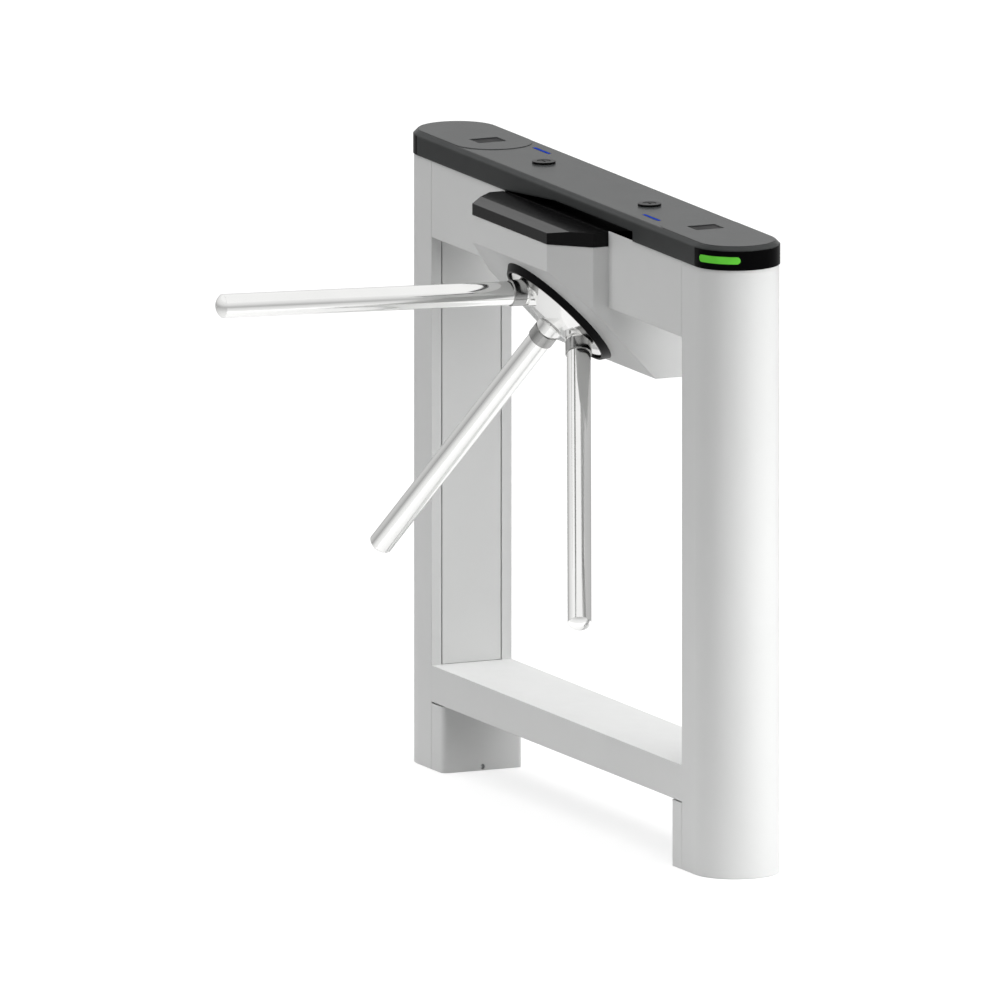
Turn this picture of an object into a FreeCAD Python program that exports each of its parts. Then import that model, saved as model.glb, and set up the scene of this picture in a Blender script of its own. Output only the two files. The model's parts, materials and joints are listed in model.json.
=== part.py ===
import FreeCAD, Part
import math
import operator
import os
from types import SimpleNamespace

import Sketcher
from fcgear import fcgear, involute

# A waist-high tripod turnstile: two half-round posts joined by a low beam and a head,
# with a slanted three-arm rotor on the passage side.
# X runs along the passage, -Y is the side where people walk, Z is up.
# The origin is on the floor, midway between the posts. Lengths are in millimetres.

# Driving dimensions
SIZES = {
    # Overall frame
    "post_width": 138.0,
    "inner_half_length": 474.0,
    "post_depth": 51.5,
    "panel_seam": 0.8,
    "skin": 2.0,
    "fit": 0.5,
    # Posts, doors and columns
    "post_lip": 17.0,
    "door_gap": 1.6,
    "door_end_gap": 0.5,
    "door_depth": 18.0,
    "door_rib_offset": 30.0,
    "column_depth": 60.0,
    "column_width": 80.0,
    "column_wall": 3.0,
    "column_head_gap": 4.0,
    # Feet
    "plinth_reach": 42.0,
    "plinth_corner": 8.0,
    "plinth_gap": 2.6,
    "base_thickness": 10.0,
    "anchor_inset": 18.0,
    "anchor_spacing": 90.0,
    "anchor_radius": 7.0,
    "cable_slot_length": 16.0,
    "cable_slot_width": 44.0,
    "drain_radius": 4.0,
    "drain_height": 6.0,
    # Lower beam
    "beam_bottom": 108.0,
    "beam_height": 58.0,
    "core_width": 100.0,
    "core_wall": 3.0,
    # Head and mechanism housing
    "head_rise": 160.1,
    "head_height": 122.0,
    "housing_half": 196.0,
    "housing_chamfer": 55.0,
    "front_margin": 11.67,
    "ring_margin": 2.4,
    # Lid over the housing
    "lid_overhang": 0.5,
    "lid_wall": 7.0,
    "lid_height": 22.5,
    "lid_clearance": 1.5,
    "lid_roof": 3.5,
    "lid_back": 24.0,
    "lid_bevel_depth": 27.0,
    "lid_bevel_drop": 4.5,
    "lid_upstand": 3.0,
    "lid_groove_width": 1.5,
    "lid_groove_depth": 1.0,
    # Top cap and what is set in it
    "cap_overhang": 1.5,
    "cap_height": 37.0,
    "cap_bevel": 6.5,
    "cap_wall": 4.0,
    "cap_roof": 5.0,
    "notch_end": 290.0,
    "notch_ramp_end": 5.0,
    "notch_height": 15.6,
    "window_thickness": 2.0,
    "light_height": 11.5,
    "light_above_rim": 10.25,
    "light_start": 18.0,
    "light_sweep": 60.0,
    "light_proud": 0.3,
    "trim_gap": 0.15,
    "lock_place": 200.0,
    "lock_radius": 18.5,
    "lock_height": 3.5,
    "barrel_radius": 14.0,
    "barrel_length": 24.0,
    "plug_radius": 11.0,
    "plug_sink": 0.5,
    "key_width": 2.5,
    "key_length": 12.0,
    "key_depth": 6.0,
    "reader_place": 412.0,
    "reader_length": 37.0,
    "reader_width": 47.0,
    "reader_recess": 2.5,
    "reader_thickness": 1.5,
    "pad_place": 395.0,
    "pad_margin": 1.0,
    "pad_rise": 0.8,
    "bar_place": 298.0,
    "bar_offset": 41.0,
    "bar_length": 58.0,
    "bar_width": 5.5,
    "bar_depth": 3.0,
    # Rotor axis: the hub centre lies on the slanted face of the housing
    "hub_height": 811.9,
    "hub_tilt": 43.0,
    "opening_radius": 98.0,
    "ring_radius": 108.7,
    "ring_top_radius": 101.0,
    "ring_bore": 97.5,
    "ring_height": 11.0,
    # Hub and arms: the three arm axes meet at one point behind the slanted face
    "hub_radius": 95.0,
    "hub_back": 30.0,
    "hub_rim": 8.0,
    "hub_crown": 27.0,
    "apex_depth": 44.8,
    "arm_splay": 45.0,
    "arm_radius": 19.0,
    "arm_wall": 2.0,
    "arm_start": 60.0,
    "arm_reach": 625.0,
    "boss_radius": 22.0,
    "boss_end": 92.0,
    "collar_start": 97.0,
    "collar_length": 21.0,
    "collar_radius": 21.0,
    "tip_dome": 10.0,
    "tip_plug": 12.0,
    "arm_fit": 0.1,
    # Shaft, bearings and cage, measured along the rotor axis behind the slanted face
    "shaft_radius": 15.0,
    "shaft_bore_depth": 20.0,
    "stub_radius": 10.0,
    "stub_length": 14.0,
    "running_fit": 0.05,
    "bearing_radius": 26.0,
    "bearing_width": 12.0,
    "plate_thickness": 6.0,
    "front_plate_depth": 52.0,
    "plate_half_width": 100.0,
    "plate_half_height": 84.0,
    "cage_depth": 54.0,
    "cage_clearance": 5.344,
    "rear_half_width": 96.0,
    "rear_low": 58.0,
    "rear_high": 70.0,
    "stud_radius": 6.0,
    "stud_x": 88.0,
    "stud_y": 72.0,
    "spacer_x": 88.0,
    "spacer_low": 48.0,
    "spacer_high": 62.0,
    # Lock disc, index cam, gear and encoder on the shaft
    "disc_radius": 50.0,
    "disc_thickness": 8.0,
    "disc_gap": 4.0,
    "disc_notch_half": 17.0,
    "disc_notch_depth": 8.0,
    "cam_gap": 4.0,
    "cam_thickness": 10.0,
    "cam_radius": 40.0,
    "lobe_radius": 14.0,
    "lobe_offset": 36.0,
    "gear_gap": 6.0,
    "gear_width": 10.0,
    "gear_module": 1.5,
    "gear_teeth": 60,
    "pinion_teeth": 20,
    "gear_backlash": 0.3,
    "pinion_shaft_radius": 5.0,
    "damper_radius": 22.0,
    "damper_length": 30.0,
    "damper_bore": 20.0,
    "encoder_radius": 24.0,
    "encoder_thickness": 2.0,
    "encoder_gap": 6.0,
    "encoder_hole_radius": 1.5,
    "encoder_hole_ring": 20.0,
    "encoder_holes": 12,
    "sensor_half": 8.0,
    "sensor_reach": 12.0,
    "sensor_clearance": 1.2,
    # Pawls, solenoids and index plunger
    "pawl_pivot_x": 36.0,
    "pawl_pivot_y": 64.0,
    "pawl_pin_radius": 4.0,
    "pawl_near": 6.0,
    "pawl_tail": 34.0,
    "pawl_half_height": 7.0,
    "tooth_width": 8.0,
    "tooth_clearance": 2.0,
    "core_radius": 3.0,
    "core_gap": 0.7,
    "core_back": 10.0,
    "coil_half": 13.0,
    "coil_height": 26.0,
    "coil_gap": 5.0,
    "coil_floor": 4.0,
    "plunger_radius": 6.0,
    "plunger_clearance": 1.0,
    "plunger_length": 37.0,
    "roller_height": 8.0,
    "cartridge_gap": 20.0,
    "cartridge_length": 28.0,
    "cartridge_half": 13.0,
    "cartridge_floor": 3.0,
    # Controller board on the back panel
    "board_place": 340.0,
    "board_length": 160.0,
    "board_width": 80.0,
    "board_thickness": 1.6,
    "standoff_length": 8.0,
    "standoff_radius": 3.0,
    "standoff_inset": 8.0,
    "chip_height": 9.0,
    "chip_size": 30.0,
}

doc = FreeCAD.newDocument("tripod_turnstile")
sheet = doc.addObject("Spreadsheet::Sheet", "Sizes")
for row, (alias, number) in enumerate(SIZES.items(), 1):
    sheet.set("A%d" % row, alias)
    sheet.set("B%d" % row, str(number))
    sheet.setAlias("B%d" % row, alias)
doc.recompute()


class Size:
    """A number together with the sheet expression that it comes from."""

    def __init__(self, number, text):
        self.number = number
        self.text = text

    def __add__(self, other):
        return combine(operator.add, "+", self, other)

    def __radd__(self, other):
        return combine(operator.add, "+", other, self)

    def __sub__(self, other):
        return combine(operator.sub, "-", self, other)

    def __rsub__(self, other):
        return combine(operator.sub, "-", other, self)

    def __mul__(self, other):
        return combine(operator.mul, "*", self, other)

    def __rmul__(self, other):
        return combine(operator.mul, "*", other, self)

    def __truediv__(self, other):
        return combine(operator.truediv, "/", self, other)

    def __neg__(self):
        return combine(operator.mul, "*", -1, self)


def as_size(value):
    """Takes a plain number as a size of its own."""
    if isinstance(value, Size):
        return value
    return Size(value, repr(float(value)))


def combine(action, sign, left, right):
    """Works out a sum or product, and writes the same as an expression."""
    left = as_size(left)
    right = as_size(right)
    return Size(action(left.number, right.number), "(%s %s %s)" % (left.text, sign, right.text))


size = SimpleNamespace(**{alias: Size(number, "Sizes." + alias) for alias, number in SIZES.items()})
nodes = []


def bind(item, name, value):
    """Ties one property of an object to the sheet."""
    item.setExpression(name, as_size(value).text)


def about(half):
    """The low and high side of something centred on zero."""
    return -half, half


def block(name, x, y, z):
    """A box between its low and high side along each axis."""
    item = doc.addObject("Part::Box", name)
    for axis, side, (low, high) in zip("xyz", ("Length", "Width", "Height"), (x, y, z)):
        bind(item, side, high - low)
        bind(item, "Placement.Base." + axis, low)
    return item


AXIS_TURNS = {
    "x": FreeCAD.Rotation(FreeCAD.Vector(0, 1, 0), 90),
    "y": FreeCAD.Rotation(FreeCAD.Vector(1, 0, 0), -90),
    "z": FreeCAD.Rotation(),
}


def rod(name, radius, span, across=(0, 0), axis="z", sweep=360, start=0):
    """A cylinder, or a slice of one, along an axis between the two ends of its span."""
    item = doc.addObject("Part::Cylinder", name)
    low, high = span
    bind(item, "Radius", radius)
    bind(item, "Height", high - low)
    bind(item, "Angle", sweep)
    turn = FreeCAD.Rotation(FreeCAD.Vector(0, 0, 1), as_size(start).number)
    item.Placement = FreeCAD.Placement(FreeCAD.Vector(), AXIS_TURNS[axis].multiply(turn))
    others = [letter for letter in "xyz" if letter != axis]
    bind(item, "Placement.Base." + axis, low)
    for letter, place in zip(others, across):
        bind(item, "Placement.Base." + letter, place)
    return item


def fuse(name, *items):
    """Joins touching solids into one."""
    joined = doc.addObject("Part::MultiFuse", name)
    joined.Shapes = list(items)
    joined.Refine = True
    return joined


def common(name, base, tool):
    """What two solids share."""
    shared = doc.addObject("Part::Common", name)
    shared.Base = base
    shared.Tool = tool
    return shared


def cut(name, base, *tools):
    """Takes one or more solids away from another."""
    result = doc.addObject("Part::Cut", name)
    result.Base = base
    result.Tool = tools[0] if len(tools) == 1 else fuse(name + "_tools", *tools)
    return result


def group(name, *items):
    """Keeps identical pieces together as separate solids."""
    bunch = doc.addObject("Part::Compound", name)
    bunch.Links = list(items)
    return bunch


def placed(item, place):
    """An object set down whole in another frame."""
    bunch = group(item.Name + "_placed", item)
    bunch.Placement = place
    return bunch


def tube(name, outer, inner, span, across=(0, 0), axis="z"):
    """A round ring or pipe."""
    outside = rod(name + "_outside", outer, span, across, axis)
    inside = rod(name + "_inside", inner, span, across, axis)
    return cut(name, outside, inside)


def origin_plane(body, role):
    """One of the three base planes of a body."""
    return [plane for plane in body.Origin.OriginFeatures if plane.Role == role][0]


def prism(name, outline, span):
    """A straight-sided plate: a closed outline of corners in plan, padded upwards."""
    low, high = span
    body = doc.addObject("PartDesign::Body", name)
    sketch = body.newObject("Sketcher::SketchObject", name + "_outline")
    sketch.AttachmentSupport = [(origin_plane(body, "XY_Plane"), "")]
    sketch.MapMode = "FlatFace"
    corners = [(as_size(x), as_size(y)) for x, y in outline]
    points = [FreeCAD.Vector(x.number, y.number, 0) for x, y in corners]
    count = len(points)
    for index in range(count):
        sketch.addGeometry(Part.LineSegment(points[index], points[(index + 1) % count]))
    for index in range(count):
        sketch.addConstraint(Sketcher.Constraint("Coincident", index, 2, (index + 1) % count, 1))
    for index, corner in enumerate(corners):
        for kind, place in zip(("DistanceX", "DistanceY"), corner):
            key = sketch.addConstraint(Sketcher.Constraint(kind, -1, 1, index, 1, place.number))
            sketch.setExpression("Constraints[%d]" % key, place.text)
    pad = body.newObject("PartDesign::Pad", name + "_pad")
    pad.Profile = sketch
    bind(pad, "Length", high - low)
    bind(body, "Placement.Base.z", low)
    return body


def keep(item, place=None):
    """Marks an object as a finished piece, and puts it in its place."""
    if place is not None:
        item.Placement = place
    nodes.append(item)
    return item


def mirrored(sign, low, high):
    """A span along X, or its mirror image on the other side."""
    return (low, high) if sign > 0 else (-high, -low)


def moved(x=0.0, y=0.0, z=0.0, axis=(0, 0, 1), angle=0.0):
    """A placement: a turn about an axis through the origin, then a shift."""
    return FreeCAD.Placement(FreeCAD.Vector(x, y, z), FreeCAD.Rotation(FreeCAD.Vector(*axis), angle))


# The left end is the right end turned half round about the vertical.
SIDES = {"right": moved(), "left": moved(angle=180)}

# Heights and planes that several pieces share
tilt_angle = math.radians(SIZES["hub_tilt"])
tilt_cos = Size(math.cos(tilt_angle), "cos(Sizes.hub_tilt)")
tilt_sin = Size(math.sin(tilt_angle), "sin(Sizes.hub_tilt)")
half_width = size.post_width / 2
inside_half = half_width - size.skin
head_top = size.hub_height + size.head_rise
head_bottom = head_top - size.head_height
housing_top = head_top - size.lid_clearance - size.lid_height
housing_bottom = size.hub_height - size.ring_radius * tilt_cos - size.ring_margin
rear_depth = size.front_plate_depth + 2 * size.plate_thickness + size.cage_depth
cage_back = size.rear_low * tilt_sin + rear_depth * tilt_cos
hub_offset = cage_back + size.cage_clearance - inside_half
housing_front = hub_offset + size.ring_radius * tilt_sin + size.front_margin
beam_top = size.beam_bottom + size.beam_height
cap_radius = half_width + size.cap_overhang
cap_top = head_top + size.cap_height
roof_bottom = cap_top - size.cap_roof
pad_top = cap_top + size.pad_rise
column_face = size.inner_half_length + size.door_depth
plinth_face = size.inner_half_length - size.plinth_reach
end_centre = size.inner_half_length + size.post_depth
panel_end = size.inner_half_length - size.panel_seam


def soft_fronted(name, half, x, corner, span):
    """A block whose two upright edges at its inner face are rounded."""
    face, back = x
    body = block(name + "_body", (face + corner, back), about(half), span)
    front = block(name + "_front", (face, face + corner), about(half - corner), span)
    edges = []
    for sign in (-1, 1):
        edges.append(rod(name + "_edge", corner, span, (face + corner, sign * (half - corner))))
    return fuse(name, body, front, *edges)


def half_round(name, radius, face, span, corner=None):
    """A bar with a flat inner face, its edges square or rounded, and a half-round outer end."""
    if corner is None:
        straight = block(name + "_straight", (face, end_centre), about(radius), span)
    else:
        straight = soft_fronted(name + "_straight", radius, (face, end_centre), corner, span)
    end = rod(name + "_end", radius, span, (end_centre, 0), sweep=180, start=-90)
    return fuse(name, straight, end)


# Posts: a half-round sheet cover, its door, the column inside and the foot
def make_post_shell(side):
    name = side + "_post_shell"
    height = (0, head_top)
    outside = half_round(name + "_outside", half_width, size.inner_half_length, height)
    inside = half_round(name + "_inside", inside_half, size.inner_half_length + size.skin, height)
    wall = (size.inner_half_length, size.inner_half_length + size.skin)
    doorway = block(name + "_doorway", wall, about(half_width - size.post_lip), height)
    foot = block(name + "_foot", wall, about(inside_half), (0, size.beam_bottom))
    keep(cut(name, outside, inside, doorway, foot), SIDES[side])


def make_post_door(side):
    name = side + "_post_door"
    height = (beam_top + size.door_end_gap, head_bottom - size.door_end_gap)
    back = size.inner_half_length + size.skin
    door_half = half_width - size.post_lip - size.door_gap
    face = block(name + "_face", (size.inner_half_length, back), about(door_half), height)
    ribs = []
    for sign in (-1, 1):
        low = sign * size.door_rib_offset - size.skin / 2
        ribs.append(block(name + "_rib", (back, column_face), (low, low + size.skin), height))
    keep(fuse(name, face, *ribs), SIDES[side])


def make_column(side):
    name = side + "_column"
    x = (column_face, column_face + size.column_depth)
    wall = size.column_wall
    height = (size.base_thickness, head_top - size.column_head_gap)
    half = size.column_width / 2
    outside = block(name + "_outside", x, about(half), height)
    inside = block(name + "_inside", (x[0] + wall, x[1] - wall), about(half - wall), height)
    keep(cut(name, outside, inside), SIDES[side])


def make_plinth(side):
    name = side + "_plinth"
    height = (0, size.beam_bottom - size.plinth_gap)
    outside = soft_fronted(
        name + "_outside",
        half_width,
        (plinth_face, panel_end),
        size.plinth_corner,
        height,
    )
    inside = soft_fronted(
        name + "_inside",
        inside_half,
        (plinth_face + size.skin, panel_end),
        size.plinth_corner - size.skin,
        (0, height[1] - size.skin),
    )
    drain = rod(
        name + "_drain",
        size.drain_radius,
        (plinth_face, plinth_face + size.skin),
        (0, size.drain_height),
        axis="x",
    )
    keep(cut(name, outside, inside, drain), SIDES[side])


def make_base_plate(side):
    name = side + "_base_plate"
    height = (0, size.base_thickness)
    start = plinth_face + size.skin + size.fit
    corner = size.plinth_corner - size.skin - size.fit
    plate = half_round(name + "_blank", inside_half - size.fit, start, height, corner)
    anchor_x = start + size.anchor_inset
    holes = []
    for sign in (-1, 1):
        place = (anchor_x, sign * size.anchor_spacing / 2)
        holes.append(rod(name + "_anchor_hole", size.anchor_radius, height, place))
    slot_x = (anchor_x - size.cable_slot_length / 2, anchor_x + size.cable_slot_length / 2)
    slot = block(name + "_cable_slot", slot_x, about(size.cable_slot_width / 2), height)
    drain_x = (start, slot_x[0])
    drain_z = (size.drain_height - size.drain_radius, size.base_thickness)
    drain = block(name + "_drain_way", drain_x, about(size.drain_radius), drain_z)
    keep(cut(name, plate, slot, drain, *holes), SIDES[side])


for side in SIDES:
    make_post_shell(side)
    make_post_door(side)
    make_column(side)
    make_plinth(side)
    make_base_plate(side)


# Lower beam: a sheet sleeve over the tube that ties the two columns together
def make_beam():
    length = about(size.inner_half_length)
    inner_z = (size.beam_bottom + size.skin, beam_top - size.skin)
    outside = block("lower_beam_outside", length, about(half_width), (size.beam_bottom, beam_top))
    inside = block("lower_beam_inside", length, about(inside_half), inner_z)
    keep(cut("lower_beam", outside, inside))
    reach = about(column_face)
    half = size.core_width / 2
    wall = size.core_wall
    core = block("beam_core_outside", reach, about(half), inner_z)
    bore = block("beam_core_inside", reach, about(half - wall), (inner_z[0] + wall, inner_z[1] - wall))
    keep(cut("beam_core", core, bore))


make_beam()


# Head: front panels on both sides of the housing, a back panel and a service cover
def make_head():
    height = (head_bottom, head_top)
    floor = (head_bottom, head_bottom + size.skin)
    front = (-half_width, -inside_half)
    back = (inside_half, half_width)
    housing = size.housing_half
    for side, sign in (("right", 1), ("left", -1)):
        name = side + "_head_panel"
        x = mirrored(sign, housing, panel_end)
        face = block(name + "_face", x, front, height)
        tray = block(name + "_tray", x, about(inside_half), floor)
        keep(fuse(name, face, tray))
    keep(block("head_back_panel", about(panel_end), back, height))
    keep(block("service_cover", about(housing), back, (housing_bottom, head_bottom)))


make_head()

# Rotor frame: Z along the rotor axis, out of the slanted face, X along the passage
tilt = size.hub_tilt.number
hub_frame = moved(0, -hub_offset.number, size.hub_height.number, (1, 0, 0), 90 + tilt)


def plan_outline(inset, back):
    """The housing seen from above, drawn in by an inset, up to a back line."""
    corner_shift = math.tan(math.radians(22.5))
    half = size.housing_half - inset
    front = -(housing_front - inset)
    nose = size.housing_half - size.housing_chamfer - inset * corner_shift
    shoulder = -(housing_front - size.housing_chamfer - inset * corner_shift)
    left = [(-half, back), (-half, shoulder), (-nose, front)]
    right = [(nose, front), (half, shoulder), (half, back)]
    return left + right


def below_slant(name, depth):
    """Everything in front of a plane parallel to the slanted face, at a depth behind it."""
    reach = size.housing_half + housing_front + housing_bottom
    return placed(block(name, about(reach), about(reach), (-depth, reach)), hub_frame)


def make_housing():
    height = (housing_bottom, housing_top)
    inner_height = (housing_bottom + size.skin, housing_top)
    outside = prism("housing_outside", plan_outline(0, inside_half), height)
    inside = prism("housing_inside", plan_outline(size.skin, inside_half), inner_height)
    solid = cut("housing_solid", outside, below_slant("housing_slant", 0))
    hollow = cut("housing_hollow", inside, below_slant("housing_inner_slant", size.skin))
    opening = rod("housing_opening", size.opening_radius, (-2 * size.skin, size.skin))
    keep(cut("mechanism_housing", solid, hollow, placed(opening, hub_frame)))


make_housing()


def make_lid():
    bottom = housing_top
    top = bottom + size.lid_height
    over = -size.lid_overhang
    rim = -(half_width + size.fit)
    neck = size.housing_half - size.fit
    back = -size.lid_back
    outline = plan_outline(over, rim)
    outline += [(neck, rim), (neck, back), (-neck, back), (-neck, rim)]
    slab = prism("lid_slab", outline, (bottom, top))
    inner = plan_outline(over + size.lid_wall, back - size.lid_wall)
    hollow = prism("lid_hollow", inner, (bottom, top - size.lid_bevel_drop - size.lid_roof))
    front = -(housing_front + size.lid_overhang)
    drop = size.lid_bevel_drop
    wedge = prism(
        "lid_bevel",
        [(front, top - drop), (front + size.lid_bevel_depth, top), (front, top)],
        about(size.housing_half + size.lid_overhang),
    )
    # The wedge is drawn in the plane of Y and Z and runs along X.
    x, y, z = FreeCAD.Vector(1, 0, 0), FreeCAD.Vector(0, 1, 0), FreeCAD.Vector(0, 0, 1)
    along_x = FreeCAD.Rotation(y, z, x, "XYZ")
    bevel = placed(wedge, FreeCAD.Placement(FreeCAD.Vector(), along_x))
    upstand = block(
        "lid_upstand",
        about(neck),
        (back - size.lid_upstand, back),
        (bottom, roof_bottom - size.fit),
    )
    groove = block(
        "lid_groove",
        about(size.housing_half + size.lid_overhang),
        (rim - size.lid_groove_width, rim),
        (top - size.lid_groove_depth, top),
    )
    keep(cut("housing_lid", fuse("lid_blank", slab, upstand), hollow, bevel, groove))


make_lid()


# Top cap: a long tray with half-round ends, bevelled round its top edge
def long_round(name, radius, span):
    """A bar with two half-round ends, as long as the whole frame."""
    straight = block(name + "_straight", about(end_centre), about(radius), span)
    ends = []
    for sign, start in ((1, -90), (-1, 90)):
        place = (sign * end_centre, 0)
        ends.append(rod(name + "_end", radius, span, place, sweep=180, start=start))
    return fuse(name, straight, *ends)


def bevelled_top(name, radius, low):
    """The bevelled layer on top of the cap."""
    top_radius = radius - size.cap_bevel
    middle = doc.addObject("Part::Wedge", name + "_middle")
    sides = {
        "Xmin": -end_centre,
        "Xmax": end_centre,
        "X2min": -end_centre,
        "X2max": end_centre,
        "Ymin": 0,
        "Ymax": size.cap_bevel,
        "Zmin": -radius,
        "Zmax": radius,
        "Z2min": -top_radius,
        "Z2max": top_radius,
    }
    for side_name, value in sides.items():
        bind(middle, side_name, value)
    middle.Placement = moved(axis=(1, 0, 0), angle=90)
    bind(middle, "Placement.Base.z", low)
    layers = [middle]
    for sign, start in ((1, -90), (-1, 90)):
        end = doc.addObject("Part::Cone", name + "_end")
        bind(end, "Radius1", radius)
        bind(end, "Radius2", top_radius)
        bind(end, "Height", size.cap_bevel)
        bind(end, "Angle", 180)
        end.Placement = moved(angle=start)
        bind(end, "Placement.Base.x", sign * end_centre)
        bind(end, "Placement.Base.z", low)
        layers.append(end)
    return fuse(name, *layers)


def end_band(name, inner, outer, span):
    """A half-round band round one end of the cap."""
    place = (end_centre, 0)
    outside = rod(name + "_outside", outer, span, place, sweep=180, start=-90)
    inside = rod(name + "_inside", inner, span, place)
    return cut(name, outside, inside)


bevel_bottom = cap_top - size.cap_bevel
window_inner = cap_radius - size.window_thickness


def at_lock(sign):
    return sign * size.lock_place, 0


def pocket_block(name, centre, length, width, span):
    """A rectangular pocket or plate at a place on the cap."""
    x, y = centre
    return block(name, (x - length / 2, x + length / 2), (y - width / 2, y + width / 2), span)


def raised_pad(sign):
    """An oblong pad round a reader, raised a little above the roof of the cap."""
    radius = cap_radius - size.cap_bevel - size.pad_margin
    span = (roof_bottom, pad_top)
    straight = block("pad_straight", mirrored(sign, size.pad_place, end_centre), about(radius), span)
    ends = [rod("pad_end", radius, span, (sign * x, 0)) for x in (size.pad_place, end_centre)]
    return fuse("pad", straight, *ends)


def make_cap():
    body = long_round("cap_sides", cap_radius, (head_top, bevel_bottom))
    top = bevelled_top("cap_bevel_layer", cap_radius, bevel_bottom)
    pads = [raised_pad(sign) for sign in (1, -1)]
    tools = [long_round("cap_hollow", cap_radius - size.cap_wall, (head_top, roof_bottom))]
    # The notch over the lid is drawn upright. It rises along a ramp from the left end of the lid.
    notch_top = head_top + size.notch_height
    ramp = [(-size.housing_half, head_top), (-size.notch_ramp_end, notch_top)]
    notch_outline = ramp + [(size.notch_end, notch_top), (size.notch_end, head_top)]
    notch = prism("cap_notch", notch_outline, (cap_radius - size.cap_wall, cap_radius))
    tools.append(placed(notch, moved(axis=(1, 0, 0), angle=90)))
    for sign, turn in ((1, SIDES["right"]), (-1, SIDES["left"])):
        rebate_outer = cap_radius + size.cap_overhang
        rebate = end_band("cap_rebate", window_inner, rebate_outer, (head_top, bevel_bottom))
        rebate.Placement = turn
        tools.append(rebate)
        roof = (roof_bottom, cap_top)
        tools.append(rod("cap_lock_hole", size.barrel_radius + size.trim_gap, roof, at_lock(sign)))
        reader_z = (pad_top - size.reader_recess, pad_top)
        centre = (sign * size.reader_place, 0)
        tools.append(pocket_block("cap_reader", centre, size.reader_length, size.reader_width, reader_z))
        bar_z = (cap_top - size.bar_depth, cap_top)
        centre = (sign * size.bar_place, -sign * size.bar_offset)
        tools.append(pocket_block("cap_bar", centre, size.bar_length, size.bar_width, bar_z))
    keep(cut("top_cap", fuse("cap_blank", body, top, *pads), *tools))


make_cap()


# End windows with their status lights, turned half round for the left end
def light_shape(name, margin):
    """The rounded slot of a status light, swept round the end of the cap."""
    radius = size.light_height / 2 + margin
    middle_z = head_top + size.light_above_rim + size.light_height / 2
    span = (middle_z - radius, middle_z + radius)
    reach = cap_radius + size.cap_overhang
    end_turn = math.degrees(size.light_height.number / 2 / cap_radius.number)
    first = -(size.light_start.number + size.light_sweep.number) + end_turn
    last = -size.light_start.number - end_turn
    place = (end_centre, 0)
    pieces = [rod(name + "_middle", reach, span, place, sweep=last - first, start=first)]
    for angle in (first, last):
        end = doc.addObject("Part::Cylinder", name + "_end")
        bind(end, "Radius", radius)
        bind(end, "Height", reach)
        turn = FreeCAD.Rotation(FreeCAD.Vector(0, 0, 1), angle).multiply(AXIS_TURNS["x"])
        end.Placement = FreeCAD.Placement(FreeCAD.Vector(), turn)
        bind(end, "Placement.Base.x", end_centre)
        bind(end, "Placement.Base.z", middle_z)
        pieces.append(end)
    return fuse(name, *pieces)


def make_end_trim(side):
    window = side + "_end_window"
    span = (head_top, bevel_bottom)
    band = end_band(window + "_band", window_inner, cap_radius, span)
    keep(cut(window, band, light_shape(window + "_slot", size.trim_gap)), SIDES[side])
    light = side + "_status_light"
    glow = end_band(light + "_band", window_inner, cap_radius + size.light_proud, span)
    keep(common(light, glow, light_shape(light + "_shape", 0)), SIDES[side])


def make_cap_trim(side, sign):
    gap = 2 * size.trim_gap
    reader_low = pad_top - size.reader_recess
    keep(
        pocket_block(
            side + "_reader_window",
            (sign * size.reader_place, 0),
            size.reader_length - gap,
            size.reader_width - gap,
            (reader_low, reader_low + size.reader_thickness),
        )
    )
    keep(
        pocket_block(
            side + "_direction_light",
            (sign * size.bar_place, -sign * size.bar_offset),
            size.bar_length - gap,
            size.bar_width - gap,
            (cap_top - size.bar_depth, cap_top + size.light_proud),
        )
    )


def make_lock(side, sign):
    place = at_lock(sign)
    top = cap_top + size.lock_height
    low = cap_top - size.barrel_length
    name = side + "_lock_collar"
    flange = rod(name + "_flange", size.lock_radius, (cap_top, top), place)
    barrel = rod(name + "_barrel", size.barrel_radius, (low, cap_top), place)
    bore = rod(name + "_bore", size.plug_radius, (low, top), place)
    keep(cut(name, fuse(name + "_blank", flange, barrel), bore))
    name = side + "_lock_plug"
    plug_top = top - size.plug_sink
    plug = rod(name + "_barrel", size.plug_radius - size.running_fit, (low, plug_top), place)
    key_z = (plug_top - size.key_depth, plug_top)
    key = pocket_block(name + "_key_slot", place, size.key_length, size.key_width, key_z)
    keep(cut(name, plug, key))


for side, sign in (("right", 1), ("left", -1)):
    make_end_trim(side)
    make_cap_trim(side, sign)
    make_lock(side, sign)


# Hub ring on the slanted face
def make_hub_ring():
    cone = doc.addObject("Part::Cone", "hub_ring_outside")
    bind(cone, "Radius1", size.ring_radius)
    bind(cone, "Radius2", size.ring_top_radius)
    bind(cone, "Height", size.ring_height)
    bore = rod("hub_ring_bore", size.ring_bore, (0, size.ring_height))
    keep(cut("hub_ring", cone, bore), hub_frame)


make_hub_ring()

# Arm frames inside the rotor frame: Z along the arm from the point where the axes meet
ARM_ANGLES = {"upper": 0, "left": 120, "right": -120}
collar_end = size.collar_start + size.collar_length


def arm_place(angle):
    lean = moved(axis=(1, 0, 0), angle=-size.arm_splay.number)
    turn = moved(z=-size.apex_depth.number, angle=angle)
    return turn.multiply(lean)


def dome(name, radius, crown, base, bottom):
    """A round bar whose top is a shallow spherical crown."""
    rise = crown - base
    ball_radius = (radius * radius + rise * rise) / (2 * rise)
    ball = doc.addObject("Part::Sphere", name + "_ball")
    bind(ball, "Radius", ball_radius)
    bind(ball, "Placement.Base.z", crown - ball_radius)
    return common(name, rod(name + "_bar", radius, (bottom, crown)), ball)


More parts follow.
